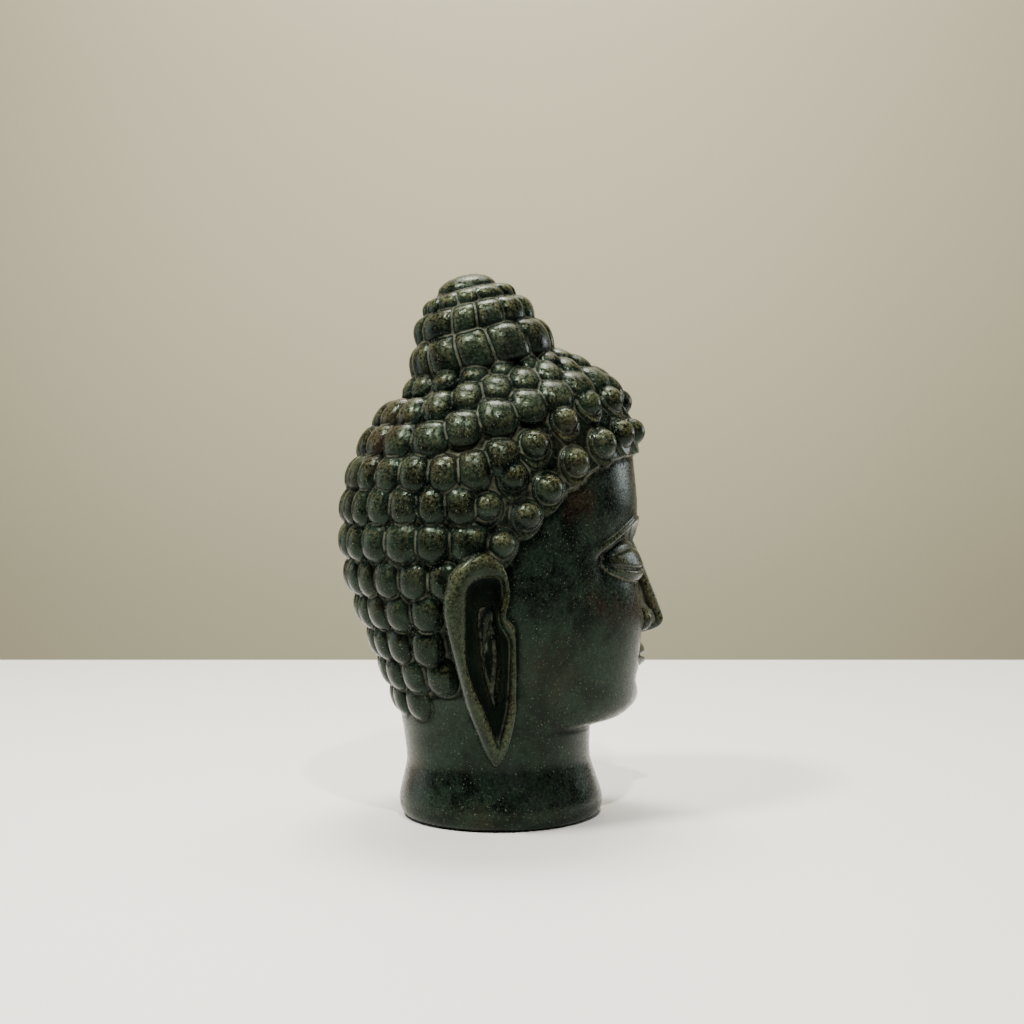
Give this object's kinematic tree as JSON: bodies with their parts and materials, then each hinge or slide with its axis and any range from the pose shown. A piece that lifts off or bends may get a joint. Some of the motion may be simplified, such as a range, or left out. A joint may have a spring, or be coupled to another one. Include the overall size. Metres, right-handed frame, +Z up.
{
  "type": "stone buddha head",
  "caption": "Carved stone head of a Buddha with hair curls, stepped topknot and long ears, standing on its own flared neck.",
  "frame": {"origin": "centre of the neck's flat underside", "axes": "+Z up through the neck to the topknot; the face looks along -Y; +X towards the figure's left ear"},
  "size_m": [0.1516, 0.1862, 0.2999],
  "materials": {
    "dark_green_stone": "polished, mottled dark green with pale flecks"
  },
  "bodies": {
    "root": {"buddha_head": "dark_green_stone"}
  },
  "joints": []
}
